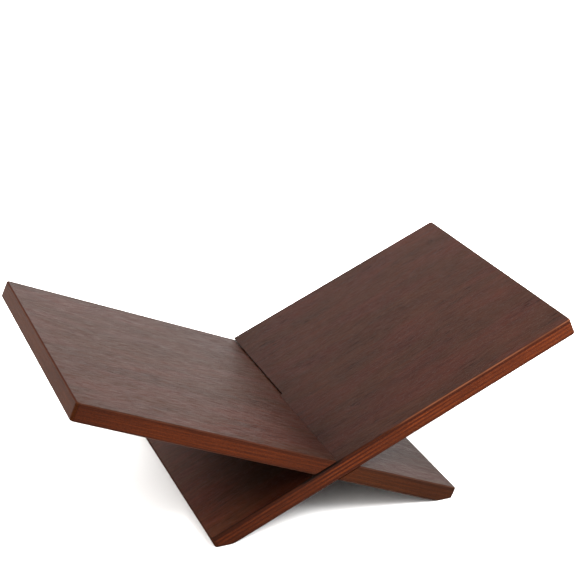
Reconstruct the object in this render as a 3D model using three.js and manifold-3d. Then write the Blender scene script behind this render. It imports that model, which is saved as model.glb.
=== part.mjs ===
// Book display stand: two plywood boards that cross in an X and hold an open book in the upper V.
//
// Each board has a slot from one long edge to mid-depth, and the two slots slide over each
// other along Y as a half-lap. The walls of a slot run parallel to the faces of the board that
// passes through it, so the boards meet at one angle only. The lower end of each board is cut
// flat where it stands on the table.
//
// Units are millimetres. +X runs from the left board's top to the right board's, +Y runs from
// the front edge to the rear, +Z is up, and the origin is on the table below the crossing.

import * as THREE from "three";
import { mergeVertices } from "three/addons/utils/BufferGeometryUtils.js";
import Module from "manifold-3d";

// Driving dimensions
const TILT = THREE.MathUtils.degToRad(23.7); // slope of each board
const DEPTH = 250; // front edge to rear edge
const UPPER = 218.5; // along the top face, from the crossing to the upper end
const LOWER = 114; // along the top face, from the crossing to the lower end
const THICKNESS = 15;
const GLUE_LINE = 0.05; // gap left between two plies
const FOOT_CUT = 5.4; // height of the corner that the flat foot takes off
const SLOT_END_GAP = 0.15; // each slot runs this far past mid-depth

// Rounding
const CORNER_RADIUS = 3; // the board's four corners, seen from above
const ARRIS = 1.4; // all along the edges of both faces, less than the other radii
const HEEL_RADIUS = 2.4; // between the end face and the flat foot
const TOE_RADIUS = 18; // between the flat foot and the bottom face
const CORNER_STEPS = 4; // per half arc
const ARRIS_STEPS = 4;

// Clearance of each slot over and under the board that passes through it
const LEFT_SLOT = { above: 0.9, below: 0.15 };
const RIGHT_SLOT = { above: 1.3, below: 0.2 };

// The plies from the top face down. Long plies have their grain along the board.
const PLIES = [
  { name: "top_face_veneer", long: true },
  { name: "cross_ply_1", long: false },
  { name: "long_ply_1", long: true },
  { name: "cross_ply_2", long: false },
  { name: "centre_ply", long: true },
  { name: "cross_ply_3", long: false },
  { name: "long_ply_2", long: true },
  { name: "cross_ply_4", long: false },
  { name: "bottom_face_veneer", long: true },
];

const PLY_PITCH = THICKNESS / PLIES.length;
const CROSSING_HEIGHT = LOWER * Math.sin(TILT) + THICKNESS * Math.cos(TILT) - FOOT_CUT;
const MARGIN = 5; // how far a cutting solid reaches past what it cuts
const REACH = 100; // the same for the solid that shapes the foot
const SIDE_MARGIN = 0.02; // the same across its width, where it rounds the foot's edges too

const wasm = await Module();
wasm.setup();

// A closed geometry as a solid that can be cut
function solidOf(geometry) {
  const bare = geometry.clone();
  bare.deleteAttribute("normal");
  bare.deleteAttribute("uv");
  const merged = mergeVertices(bare, 1e-4);
  return new wasm.Manifold(
    new wasm.Mesh({
      numProp: 3,
      vertProperties: new Float32Array(merged.attributes.position.array),
      triVerts: new Uint32Array(merged.index.array),
    }),
  );
}

// A solid as a flat-shaded geometry
function geometryOf(solid) {
  const mesh = solid.getMesh();
  const geometry = new THREE.BufferGeometry();
  geometry.setAttribute("position", new THREE.BufferAttribute(mesh.vertProperties, 3));
  geometry.setIndex(new THREE.BufferAttribute(mesh.triVerts, 1));
  const flat = geometry.toNonIndexed();
  flat.computeVertexNormals();
  return flat;
}

// A corner of an outline: its place and its rounding
function corner(x, y, radius) {
  return { point: new THREE.Vector2(x, y), radius };
}

// A closed outline through the corners, anticlockwise, with each corner rounded by an arc
function roundedShape(corners) {
  const shape = new THREE.Shape();
  corners.forEach(({ point, radius }, i) => {
    const before = corners[(i + corners.length - 1) % corners.length].point;
    const after = corners[(i + 1) % corners.length].point;
    const arriving = point.clone().sub(before).normalize();
    const leaving = after.clone().sub(point).normalize();
    const turn = Math.acos(arriving.dot(leaving));
    const start = point.clone().addScaledVector(arriving, -radius * Math.tan(turn / 2));
    const inward = new THREE.Vector2(-arriving.y, arriving.x);
    const centre = start.clone().addScaledVector(inward, radius);
    const from = Math.atan2(start.y - centre.y, start.x - centre.x);
    shape.absarc(centre.x, centre.y, radius, from, from + turn, false);
  });
  return shape;
}

// A board's own frame: x up the slope from the crossing, y across, z out of the top face, with
// the top face at z = 0 and the slot on the +y side.

// An outline drawn out to a height, with its edges rounded at both ends
function roundedPrism(corners, height) {
  const geometry = new THREE.ExtrudeGeometry(roundedShape(corners), {
    depth: height - 2 * ARRIS,
    curveSegments: CORNER_STEPS,
    bevelThickness: ARRIS,
    bevelSize: ARRIS,
    bevelOffset: -ARRIS,
    bevelSegments: ARRIS_STEPS,
  });
  geometry.translate(0, 0, ARRIS);
  return geometry;
}

// A flat rectangular board with rounded corners and edges
function plank() {
  const corners = [
    corner(UPPER, -DEPTH / 2, CORNER_RADIUS),
    corner(UPPER, DEPTH / 2, CORNER_RADIUS),
    corner(-LOWER, DEPTH / 2, CORNER_RADIUS),
    corner(-LOWER, -DEPTH / 2, CORNER_RADIUS),
  ];
  const geometry = roundedPrism(corners, THICKNESS);
  geometry.translate(0, 0, -THICKNESS);
  return solidOf(geometry);
}

// A solid that holds the whole plank except what the flat foot takes off
function footShaper() {
  const corners = [
    corner(UPPER + REACH, -THICKNESS - MARGIN, HEEL_RADIUS),
    corner(UPPER + REACH, REACH, HEEL_RADIUS),
    corner(-LOWER - MARGIN, REACH, HEEL_RADIUS),
    corner(-LOWER, -THICKNESS + FOOT_CUT / Math.cos(TILT), HEEL_RADIUS),
    corner(-LOWER + FOOT_CUT / Math.sin(TILT), -THICKNESS, TOE_RADIUS),
  ];
  const width = DEPTH + 2 * SIDE_MARGIN;
  const geometry = roundedPrism(corners, width);
  geometry.translate(0, 0, -width / 2);
  geometry.rotateX(Math.PI / 2);
  return solidOf(geometry);
}

// The space that the other board passes through, with its clearances
function slotCutter(slot) {
  const height = slot.above + THICKNESS + slot.below;
  const length = 2 * (THICKNESS / Math.sin(2 * TILT) + MARGIN);
  const run = SLOT_END_GAP + DEPTH / 2 + MARGIN;
  const geometry = new THREE.BoxGeometry(length, run, height);
  geometry.translate(0, run / 2 - SLOT_END_GAP, slot.above - height / 2);
  geometry.rotateY(2 * TILT);
  return solidOf(geometry);
}

// The slab of the board's thickness that one ply fills
function plySlab(index) {
  const first = index === 0;
  const last = index === PLIES.length - 1;
  const top = first ? MARGIN : -index * PLY_PITCH - GLUE_LINE / 2;
  const bottom = -(index + 1) * PLY_PITCH + (last ? -MARGIN : GLUE_LINE / 2);
  const length = LOWER + UPPER + 2 * MARGIN;
  const geometry = new THREE.BoxGeometry(length, DEPTH + 2 * MARGIN, top - bottom);
  geometry.translate((UPPER - LOWER) / 2, 0, (top + bottom) / 2);
  return solidOf(geometry);
}

function plyMaterial(long) {
  return new THREE.MeshStandardMaterial({
    color: long ? 0x7a3f2c : 0x4a2219,
    roughness: long ? 0.5 : 0.7,
    metalness: 0,
  });
}

// One board: its plies in a group that is tilted to the slope, then turned about the upright
// through the crossing
function board(side, slot, turn) {
  const solid = plank().intersect(footShaper()).subtract(slotCutter(slot));
  const slope = new THREE.Group();
  slope.rotation.y = -TILT;
  PLIES.forEach((ply, index) => {
    const geometry = geometryOf(solid.intersect(plySlab(index)));
    const mesh = new THREE.Mesh(geometry, plyMaterial(ply.long));
    mesh.name = `${side}_${ply.name}`;
    slope.add(mesh);
  });
  const group = new THREE.Group();
  group.rotation.z = turn;
  group.add(slope);
  return group;
}

// The right board's slot opens at the rear edge, and the left board, turned half round, has
// its slot open at the front edge.
const stand = new THREE.Group();
stand.position.z = CROSSING_HEIGHT;
stand.add(board("right", RIGHT_SLOT, 0));
stand.add(board("left", LEFT_SLOT, Math.PI));

export default stand;
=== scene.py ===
"""Book display stand: two stained plywood boards crossing in an X, on a pale studio floor."""

import math
from collections import namedtuple

import bpy
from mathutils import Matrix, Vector

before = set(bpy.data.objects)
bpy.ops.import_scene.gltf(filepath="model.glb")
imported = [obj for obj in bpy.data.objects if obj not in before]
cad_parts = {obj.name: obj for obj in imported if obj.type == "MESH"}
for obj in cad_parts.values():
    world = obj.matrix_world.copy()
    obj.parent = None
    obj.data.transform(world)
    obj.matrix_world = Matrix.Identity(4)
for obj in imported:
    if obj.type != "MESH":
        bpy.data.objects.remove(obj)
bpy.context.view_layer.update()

MM = 0.001
scene = bpy.context.scene


# Camera: the photograph's viewing angle

VIEW_AZIMUTH = math.radians(-21.836)
VIEW_ELEVATION = math.radians(22.175)
VIEW_DISTANCE = 1.2201
LENS_MM = 92.44
SENSOR_MM = 36
AIM = Vector((0.02325, 0.0, 0.14787))
SHIFT_X = -0.0312


def direction(azimuth, elevation):
    """The unit vector towards a viewer at this azimuth, where 0 is in front, and elevation."""
    flat = math.cos(elevation)
    return Vector((math.sin(azimuth) * flat, -math.cos(azimuth) * flat, math.sin(elevation)))


def aim_at(obj, target):
    obj.rotation_euler = (target - obj.location).to_track_quat("-Z", "Y").to_euler()


def make_camera():
    data = bpy.data.cameras.new("camera")
    data.sensor_width = SENSOR_MM
    data.lens = LENS_MM
    data.shift_x = SHIFT_X
    camera = bpy.data.objects.new("camera", data)
    camera.location = AIM + VIEW_DISTANCE * direction(VIEW_AZIMUTH, VIEW_ELEVATION)
    aim_at(camera, AIM)
    scene.collection.objects.link(camera)
    scene.camera = camera


# Nodes

NOISE_LOW, NOISE_HIGH = 0.3, 0.7  # most of a noise texture lies between these


def put(tree, kind, settings=None, **inputs):
    """Adds a shader node. Settings are its attributes. An input is given by its name, or by its
    number as i0, i1 and so on, and takes a value or a socket."""
    node = tree.nodes.new("ShaderNode" + kind)
    for name, value in (settings or {}).items():
        setattr(node, name, value)
    for name, value in inputs.items():
        numbered = name[0] == "i" and name[1:].isdigit()
        socket = node.inputs[int(name[1:]) if numbered else name.replace("_", " ")]
        if isinstance(value, bpy.types.NodeSocket):
            tree.links.new(value, socket)
        else:
            socket.default_value = value
    return node


def new_material(name):
    material = bpy.data.materials.new(name)
    material.use_nodes = True
    material.node_tree.nodes.clear()
    return material


def math_node(tree, operation, a, b=0.0, c=0.0):
    return put(tree, "Math", {"operation": operation}, i0=a, i1=b, i2=c).outputs[0]


def times(tree, *values):
    product = values[0]
    for value in values[1:]:
        product = math_node(tree, "MULTIPLY", product, value)
    return product


def lessened(tree, mask, amount):
    """1 where the mask is 0, and less by this amount where it is 1."""
    return math_node(tree, "MULTIPLY_ADD", mask, -amount, 1.0)


def ramp(tree, value, first, last, start=0.0, end=1.0):
    """Eases from start to end as the value goes from first to last, up or down."""
    return put(tree, "MapRange", {"interpolation_type": "SMOOTHSTEP"}, Value=value,
               From_Min=first, From_Max=last, To_Min=start, To_Max=end).outputs[0]


def band(tree, value, below, above):
    """Near 1 between below and above. Each of them is the value that gives 0 and the one that
    gives 1."""
    return times(tree, ramp(tree, value, *below), ramp(tree, value, *above))


def vary(tree, texture, start, end):
    """Goes from start to end over the range that a noise texture has."""
    return ramp(tree, texture, NOISE_LOW, NOISE_HIGH, start, end)


def mix(tree, factor, a, b):
    return put(tree, "Mix", {"data_type": "FLOAT"}, i0=factor, i2=a, i3=b).outputs[0]


def blend(tree, factor, a, b):
    """Goes from colour a to colour b."""
    return put(tree, "Mix", {"data_type": "RGBA"}, i0=factor, i6=a, i7=b).outputs[2]


def shade(tree, colour, amount):
    return put(tree, "VectorMath", {"operation": "SCALE"}, i0=colour, i3=amount).outputs[0]


def parts(tree, vector):
    return put(tree, "SeparateXYZ", Vector=vector).outputs


def moved(tree, place, x=0.0, y=0.0):
    offset = put(tree, "CombineXYZ", X=x, Y=y).outputs[0]
    return put(tree, "VectorMath", {"operation": "ADD"}, i0=place, i1=offset).outputs[0]


def noise(tree, place, size, detail=2.0, roughness=0.5):
    """Noise from 0 to 1 with features of about this many millimetres along each axis."""
    stretched = put(tree, "Mapping", Vector=place, Scale=tuple(1 / s for s in size))
    return put(tree, "TexNoise", Vector=stretched.outputs[0], Scale=1.0, Detail=detail,
               Roughness=roughness).outputs[0]


# Stage

FLOOR_SIZE = 40.0
FLOOR_PAPER = (0.90, 0.90, 0.90, 1)

DIM, BRIGHT = 0.2, 3.7  # brightness of the studio low in front, and behind and overhead
BRIGHTER_TOWARDS = (-0.05, 0.4, 1.0)
DIM_BELOW, BRIGHT_ABOVE = -0.25, 0.66  # where the change begins and ends, measured along that
STUDIO_WHITE = (1, 0.98, 0.955, 1)


def make_floor():
    bpy.ops.mesh.primitive_plane_add(size=FLOOR_SIZE, location=(0, 0, 0))
    floor = bpy.context.object
    floor.name = "floor"
    material = new_material("floor_paper")
    tree = material.node_tree
    shader = put(tree, "BsdfPrincipled", Base_Color=FLOOR_PAPER, Roughness=0.9,
                 Specular_IOR_Level=0.1)
    put(tree, "OutputMaterial", Surface=shader.outputs[0])
    floor.data.materials.append(material)


def add_softbox(name, azimuth, elevation, distance, size, watts):
    """A round light facing the stand, with its angles in degrees."""
    data = bpy.data.lights.new(name, "AREA")
    data.shape = "DISK"
    data.size = size
    data.energy = watts
    light = bpy.data.objects.new(name, data)
    towards = direction(math.radians(azimuth), math.radians(elevation))
    light.location = AIM + distance * towards
    aim_at(light, AIM)
    scene.collection.objects.link(light)


def make_studio():
    add_softbox("key", azimuth=32, elevation=50, distance=2.2, size=1.0, watts=46)
    add_softbox("rear_left", azimuth=-148, elevation=30, distance=1.5, size=0.7, watts=8)
    add_softbox("right", azimuth=62, elevation=20, distance=1.15, size=0.75, watts=22)
    world = bpy.data.worlds.new("studio")
    world.use_nodes = True
    tree = world.node_tree
    background = tree.nodes["Background"]
    towards = put(tree, "TexCoord").outputs["Generated"]
    along = put(tree, "VectorMath", {"operation": "DOT_PRODUCT"}, i0=towards,
                i1=BRIGHTER_TOWARDS).outputs["Value"]
    strength = ramp(tree, along, DIM_BELOW, BRIGHT_ABOVE, DIM, BRIGHT)
    tree.links.new(strength, background.inputs["Strength"])
    background.inputs["Color"].default_value = STUDIO_WHITE
    scene.world = world
    scene.view_settings.view_transform = "Standard"


# Boards. A board's axes are x up its slope with the crossing near 0, y across it and z through
# it, all in millimetres.

TILT = math.radians(23.7)  # slope of each board
PLIES = ("top_face_veneer", "cross_ply_1", "long_ply_1", "cross_ply_2", "centre_ply",
         "cross_ply_3", "long_ply_2", "cross_ply_4", "bottom_face_veneer")
THICKNESS = 15
PLY_PITCH = THICKNESS / len(PLIES)

# A point on a board. The noise is read at place, and forward is y towards the front. The last
# three say how squarely the surface faces along the board, across it and through it, from 0 to 1.
Spot = namedtuple("Spot", "place x forward z to_end to_side to_face")

Look = namedtuple("Look", "colour roughness sheen height")  # height is what the bump follows


def top_plane():
    """How far the boards' top faces lie above the ground origin, square to the board, in mm."""
    upright = Vector((-math.sin(TILT), 0, math.cos(TILT)))
    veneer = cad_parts["right_top_face_veneer"].data
    return max(vertex.co @ upright for vertex in veneer.vertices) / MM


TOP_PLANE = top_plane()
LEFT_GRAIN_SHIFT = 1300.0  # takes the left board's grain from another part of the noise


def spot_on(tree, side):
    turn = (0, TILT, 0) if side == "right" else (0, -TILT, math.pi)
    coordinates = put(tree, "TexCoord")
    place = put(tree, "Mapping", Vector=coordinates.outputs["Object"], Rotation=turn,
                Scale=(1 / MM, 1 / MM, 1 / MM)).outputs[0]
    normal = put(tree, "Mapping", {"vector_type": "VECTOR"}, Vector=coordinates.outputs["Normal"],
                 Rotation=turn).outputs[0]
    x, y, z = parts(tree, place)
    facing = [math_node(tree, "ABSOLUTE", part) for part in parts(tree, normal)]
    if side == "left":
        return Spot(moved(tree, place, y=LEFT_GRAIN_SHIFT), x, y, z, *facing)
    return Spot(place, x, times(tree, y, -1.0), z, *facing)


# Cut edges

EDGE_LIGHT = (0.0590, 0.0115, 0.0020, 1)
EDGE_DARK = (0.0240, 0.0038, 0.0006, 1)
FOOT_BROWN = (0.0380, 0.0120, 0.0030, 1)
END_BROWN = (0.0410, 0.0100, 0.0024, 1)
ARRIS_DARK = (0.0150, 0.0025, 0.0006, 1)
ARRIS_DARKENING = 0.8  # how much darker the arrises get

EDGE_FOOT_PAINTED_SHADE = {"left": 0.53, "right": 0.66}  # how dark the painted shade makes the cut edges towards the feet
EDGE_TOP_PAINTED_LIGHT = {"left": 0.84, "right": 1.08}  # and how light the painted light makes them towards the top
EDGE_TIP_PAINTED_SHADING = {"left": 0.75, "right": 1.05}  # and the painted shading beyond that at the very top, darker on the left board and lighter on the right
EDGE_CONTRAST = {"left": 0.35, "right": 0.9}  # how strongly the plies show
SECOND_PLY = {"left": 0.82, "right": 0.65}  # how light the edge is just under the top veneer
VENEER_EDGE = {"left": 0.60, "right": 0.45}  # and on the face veneers
EDGE_SHEEN, END_SHEEN = 0.5, 0.19

# Each of these is where a change along the board begins and where it ends
BROWN_FADES = (-10.0, 30.0)
EDGE_PAINTED_LIGHT_RISES = (-60.0, 140.0)
CONTRAST_FADES = (60.0, 200.0)
TIP = (175.0, 240.0)

# And these as the surface turns to face along the board
END_FACES = (0.2, 0.4)
CORNER = ((0.06, 0.16), (0.36, 0.22))

# Sizes of the grain's features in millimetres
EDGE_GRAIN_ALONG = (30, 0.55, 0.42)
EDGE_GRAIN_ACROSS = (0.5, 30, 0.42)
EDGE_STREAK = (60, 60, 0.9)
EDGE_SPECKLE = (1.5, 1.5, 1.1)
EDGE_DRIFT = (45, 45, 45)


def edge_look(tree, spot, side, long):
    """A ply's cut edge: streaks where the cut runs along the grain, dots where it crosses it, with
    painted shade towards the feet and painted light towards the top.
    """
    grain = noise(tree, spot.place, EDGE_GRAIN_ALONG if long else EDGE_GRAIN_ACROSS, 3.0, 0.6)
    streak = noise(tree, spot.place, EDGE_STREAK, 3.0, 0.6)
    speckle = noise(tree, spot.place, EDGE_SPECKLE, 2.0, 0.7)
    drift = noise(tree, spot.place, EDGE_DRIFT)
    contrast = times(
        tree,
        ramp(tree, drift, 0.4, 0.6, 0.6 * EDGE_CONTRAST[side], EDGE_CONTRAST[side]),
        ramp(tree, spot.x, *CONTRAST_FADES, 1.0, 0.6),
    )
    middle = blend(tree, 0.5, EDGE_LIGHT, EDGE_DARK)
    colour = blend(tree, contrast, middle, EDGE_LIGHT if long else EDGE_DARK)
    if side == "left":
        colour = blend(tree, ramp(tree, spot.x, *BROWN_FADES, 0.5, 0.0), colour, FOOT_BROWN)
    colour = blend(tree, ramp(tree, spot.to_end, *END_FACES), colour, END_BROWN)
    corner = band(tree, spot.to_end, *CORNER)
    colour = blend(tree, times(tree, corner, ARRIS_DARKENING), colour, ARRIS_DARK)
    depth = math_node(tree, "SUBTRACT", TOP_PLANE, spot.z)
    through_ply = math_node(tree, "FRACT", math_node(tree, "DIVIDE", depth, PLY_PITCH))
    from_middle = math_node(tree, "ABSOLUTE", math_node(tree, "SUBTRACT", through_ply, 0.5))
    amount = times(
        tree,
        vary(tree, grain, 0.75, 1.22),
        vary(tree, streak, 0.80, 1.20),
        ramp(tree, speckle, 0.32, 0.62, 0.76, 1.14),
        ramp(tree, drift, 0.35, 0.65, 0.93, 1.07),
        # Painted shade towards the feet and painted light towards the top
        ramp(tree, spot.x, *EDGE_PAINTED_LIGHT_RISES, EDGE_FOOT_PAINTED_SHADE[side], EDGE_TOP_PAINTED_LIGHT[side]),
        ramp(tree, spot.x, *TIP, 1.0, EDGE_TIP_PAINTED_SHADING[side]),
        ramp(tree, from_middle, 0.42, 0.49, 1.0, 0.65),
    )
    return Look(
        colour=shade(tree, colour, amount),
        roughness=vary(tree, grain, 0.50, 0.40),
        sheen=ramp(tree, spot.to_end, *END_FACES, EDGE_SHEEN, END_SHEEN),
        height=grain,
    )


# Faces

REDDISH = (0.0182, 0.0036, 0.0014, 1)
OLIVE = (0.0160, 0.0044, 0.0016, 1)

# The painted shade around the crossing, as the x where it starts and is full, from below and from
# above
PAINTED_SHADE_ZONE = {"left": ((-10, 15), (85, 25)), "right": ((-80, -25), (65, 5))}
PAINTED_SHADE_DEPTH = 0.42
STRENGTHENS = (-60.0, 90.0)  # where the painted shade grows to its full strength, going forward
RIGHT_PAINTED_CLIMB = (60.0, 235.0)  # where painted light lightens the right board towards the top
RIGHT_FOOT = (-95.0, -20.0)  # where the painted light on its foot fades
RIGHT_FOOT_PAINTED_LIGHT = 2.1
FACE_SHEEN = 0.5
SHEEN_VARIES = {"left": 1.7, "right": 0.8}  # how strongly the grain breaks up the sheen

# Sizes of the grain's features in millimetres
SWAY = (140, 60, 60)
CLOUD = (75, 17, 30)
PATCH = (55, 26, 40)
BAND = (150, 4.2, 9)
STREAK = (24, 1.5, 3)
FIBRE = (7, 0.45, 1)
DASH = (11, 1.2, 2)
PORE = (3.2, 0.28, 0.6)
FLECK = (9, 1.3, 3)

SWAY_MM = 16.0  # how far the grain wanders across the board
PATCH_SHIFT = 900.0  # takes the patches and the flecks from other parts of the noise
FLECK_SHIFT = 400.0


def painted_face_shading(tree, spot, side):
    """Painted shade on the face: darker around the crossing, most of all near the front edge, and
    painted light growing up the right board.
    """
    painted_shade = times(tree, band(tree, spot.x, *PAINTED_SHADE_ZONE[side]),
                   ramp(tree, spot.forward, *STRENGTHENS, 0.4, 1.0))
    light = lessened(tree, painted_shade, PAINTED_SHADE_DEPTH)
    if side == "right":
        light = times(tree, light, ramp(tree, spot.x, *RIGHT_PAINTED_CLIMB, 0.89, 1.04))
    return light


def face_look(tree, spot, side):
    """The stained face veneer: cloudy colour, wavy bands, fibres, pores and sparse dark flecks,
    with painted shade and painted light on its colour and sheen.
    """
    sway = math_node(tree, "MULTIPLY_ADD", noise(tree, spot.place, SWAY), SWAY_MM, -SWAY_MM / 2)
    grain = moved(tree, spot.place, y=sway)
    cloud = ramp(tree, noise(tree, grain, CLOUD, 3.0), 0.36, 0.64)
    patch = noise(tree, moved(tree, spot.place, x=PATCH_SHIFT), PATCH, 3.0)
    stripe = noise(tree, grain, BAND)
    streak = noise(tree, grain, STREAK, 4.0, 0.65)
    fibre = noise(tree, grain, FIBRE)
    dash = noise(tree, grain, DASH, 3.0, 0.7)
    pores = ramp(tree, noise(tree, grain, PORE, 1.0), 0.60, 0.72)
    fleck = ramp(tree, noise(tree, moved(tree, grain, x=FLECK_SHIFT), FLECK, 1.0), 0.60, 0.70)
    flecks = times(tree, fleck, ramp(tree, patch, 0.50, 0.62))
    # Painted shade and painted light, applied to the colour and to the sheen
    light = painted_face_shading(tree, spot, side)
    amount = times(
        tree,
        vary(tree, stripe, 0.95, 1.05),
        vary(tree, streak, 0.78, 1.22),
        vary(tree, fibre, 0.88, 1.12),
        ramp(tree, patch, 0.35, 0.65, 1.06, 0.94),
        lessened(tree, pores, 0.3),
        lessened(tree, flecks, 0.5),
        light,
    )
    # Painted light on the right board's foot
    if side == "right":
        amount = times(tree, amount, ramp(tree, spot.x, *RIGHT_FOOT, RIGHT_FOOT_PAINTED_LIGHT, 1.0))
    by_streak = 0.12 * SHEEN_VARIES[side]
    by_dash = 0.3 * SHEEN_VARIES[side]
    sheen = times(
        tree,
        FACE_SHEEN,
        vary(tree, streak, 1 - by_streak, 1 + by_streak),
        ramp(tree, dash, 0.36, 0.64, 1 - by_dash, 1 + by_dash),
        lessened(tree, pores, 0.25),
        lessened(tree, flecks, 0.35),
        light,
    )
    ridges = math_node(tree, "MULTIPLY_ADD", streak, 0.6, fibre)
    pits = math_node(tree, "MULTIPLY_ADD", flecks, 0.8, pores)
    return Look(
        colour=shade(tree, blend(tree, cloud, OLIVE, REDDISH), amount),
        roughness=math_node(tree, "ADD", vary(tree, streak, 0.38, 0.46),
                            ramp(tree, cloud, 0.0, 1.0, 0.02, -0.01)),
        sheen=sheen,
        height=math_node(tree, "SUBTRACT", ridges, pits),
    )


# Face veneers: the face, the cut edge and the rounded arris between them

# The arris line's colour: real wear of the stain together with a painted highlight
WORN_AND_HIGHLIGHT = (0.1000, 0.0340, 0.0160, 1)
# Near-black painted shade for the gap where the boards meet
PAINTED_SHADE_BLACK = (0.0030, 0.0010, 0.0005, 1)
RUB_AND_HIGHLIGHT_BOTTOM = 0.12  # how strongly the arrises along the long edges show wear and a painted highlight
RUB_AND_HIGHLIGHT_LEFT = 0.08
RUB_AND_HIGHLIGHT_RIGHT = 0.75
ABOVE_CROSSING = (50.0, 110.0)  # where the right board's wear and painted highlight come in, so its arris stays in shade at the crossing
RUB_AND_HIGHLIGHT_PATCH = (30, 30, 30)  # size of the patches of wear and painted highlight in millimetres

# How far the surface has turned from the edge to the face where each zone comes and goes
END_TURNS = (0.86, 0.97)
SIDE_TURNS = (0.3, 0.9)
SIDE_ARRIS = ((0.15, 0.40), (0.995, 0.93))
END_ARRIS = ((0.45, 0.80), (0.995, 0.96))


# How strongly an arris shows its wear and painted highlight
def rub_and_highlight(tree, spot, side, top):
    if not top:
        return RUB_AND_HIGHLIGHT_BOTTOM
    if side == "left":
        return RUB_AND_HIGHLIGHT_LEFT
    return ramp(tree, spot.x, *ABOVE_CROSSING, 0.0, RUB_AND_HIGHLIGHT_RIGHT)


def paint_seam_shade(tree, spot, colour):
    """Painted shade: the dark line along the right board's top veneer in the gap where the left
    board meets it.
    """
    on_side = ramp(tree, spot.to_side, 0.04, 0.15)
    rim = times(tree, ramp(tree, spot.x, 30.0, 18.0), on_side,
                band(tree, spot.to_face, (0.50, 0.70), (0.999, 0.97)))
    colour = blend(tree, times(tree, rim, 0.9), colour, PAINTED_SHADE_BLACK)
    gap = times(tree, band(tree, spot.x, (-14.0, -8.0), (30.0, 20.0)), on_side,
                ramp(tree, spot.to_face, 0.05, 0.15))
    return blend(tree, gap, colour, PAINTED_SHADE_BLACK)


def veneer_look(tree, spot, side, edge, top):
    face = face_look(tree, spot, side)
    beside = ramp(tree, spot.to_side, 0.1, 0.2)
    on_face = mix(tree, beside, ramp(tree, spot.to_face, *END_TURNS),
                  ramp(tree, spot.to_face, *SIDE_TURNS))
    side_arris = times(tree, band(tree, spot.to_face, *SIDE_ARRIS),
                       ramp(tree, spot.to_side, 0.1, 0.3))
    end_arris = times(tree, band(tree, spot.to_face, *END_ARRIS), ramp(tree, beside, 1.0, 0.0))
    patchy = ramp(tree, noise(tree, spot.place, RUB_AND_HIGHLIGHT_PATCH, 3.0), 0.3, 0.6, 0.45, 1.0)
    colour = shade(tree, edge.colour, ramp(tree, spot.to_end, *END_FACES, VENEER_EDGE[side], 1.0))
    colour = blend(tree, on_face, colour, face.colour)
    # The light arris line: real wear with a painted highlight on it
    colour = blend(tree, times(tree, side_arris, patchy, rub_and_highlight(tree, spot, side, top)), colour,
                   WORN_AND_HIGHLIGHT)
    colour = blend(tree, times(tree, end_arris, ARRIS_DARKENING), colour, ARRIS_DARK)
    # Painted shade in the seam where the left board meets the right one
    if top and side == "right":
        colour = paint_seam_shade(tree, spot, colour)
    return Look(
        colour=colour,
        roughness=mix(tree, on_face, edge.roughness, face.roughness),
        sheen=times(tree, mix(tree, on_face, edge.sheen, face.sheen),
                    lessened(tree, end_arris, 0.7)),
        height=mix(tree, on_face, edge.height, face.height),
    )


# Finish

FINISH_IOR = 1.10
EDGE_ROUNDING = 0.4 * MM
RELIEF = 0.12 * MM


def wood_material(name, side, index):
    """The wood of one ply, with plies counted from the top."""
    material = new_material(name)
    tree = material.node_tree
    spot = spot_on(tree, side)
    look = edge_look(tree, spot, side, long=index % 2 == 0)
    if index == 1:
        look = look._replace(colour=shade(tree, look.colour, SECOND_PLY[side]))
    if index in (0, len(PLIES) - 1):
        look = veneer_look(tree, spot, side, look, top=index == 0)
    rounded = put(tree, "Bevel", {"samples": 4}, Radius=EDGE_ROUNDING)
    bump = put(tree, "Bump", Strength=0.5, Distance=RELIEF, Height=look.height,
               Normal=rounded.outputs[0])
    shader = put(tree, "BsdfPrincipled", Base_Color=look.colour, Roughness=look.roughness,
                 IOR=FINISH_IOR, Specular_IOR_Level=look.sheen, Normal=bump.outputs[0])
    put(tree, "OutputMaterial", Surface=shader.outputs[0])
    return material


def dress_boards():
    for name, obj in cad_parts.items():
        side, ply = name.split("_", 1)
        material = wood_material(name + "_wood", side, PLIES.index(ply))
        obj.data.materials.clear()
        obj.data.materials.append(material)


make_camera()
make_floor()
make_studio()
dress_boards()
